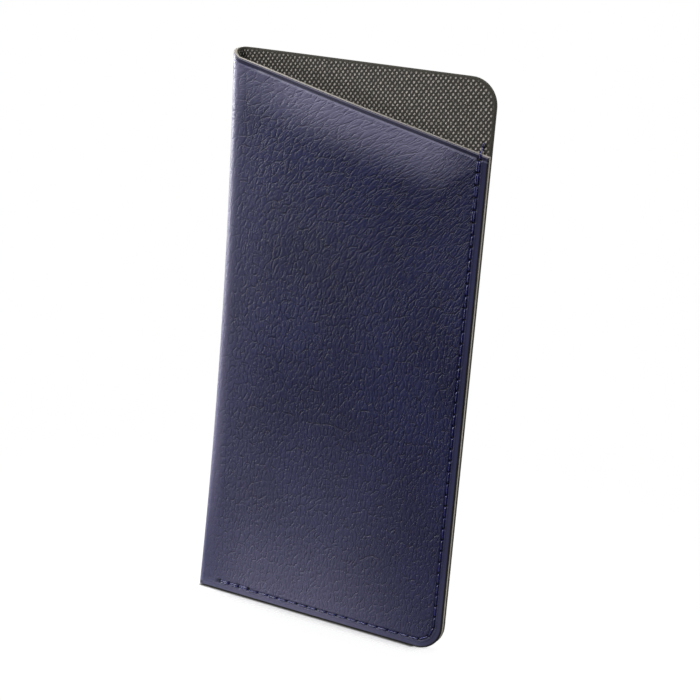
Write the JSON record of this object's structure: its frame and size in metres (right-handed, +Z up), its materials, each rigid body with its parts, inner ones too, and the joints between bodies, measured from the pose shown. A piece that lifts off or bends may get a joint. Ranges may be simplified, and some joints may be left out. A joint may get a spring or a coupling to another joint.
{
  "type": "long wallet",
  "caption": "Tall open-topped wallet sleeve: one lined synthetic-leather blank folded at the left, stitched along the right side and bottom, with a diagonal front mouth.",
  "frame": {"origin": "bottom centre of the overall box, with the sleeve standing upright on its sewn bottom edge", "axes": "+Z up, from the sewn bottom to the open mouth; the front panel with the diagonal edge faces -Y; the fold is at -X and the sewn side at +X"},
  "size_m": [0.095, 0.0107, 0.19],
  "materials": {
    "outer_cover": "navy pebble-grain synthetic leather, semi-matt",
    "interlining": "pale bonded-fibre board, matt, seen only at cut edges",
    "lining": "dark charcoal lining embossed with a small diagonal weave, semi-matt",
    "needle_thread": "blue twisted polyester sewing thread, slight sheen",
    "bobbin_thread": "blue twisted polyester sewing thread, slight sheen"
  },
  "bodies": {
    "root": {"outer_cover": "outer_cover", "interlining": "interlining", "lining": "lining", "needle_thread": "needle_thread", "bobbin_thread": "bobbin_thread"}
  },
  "joints": []
}
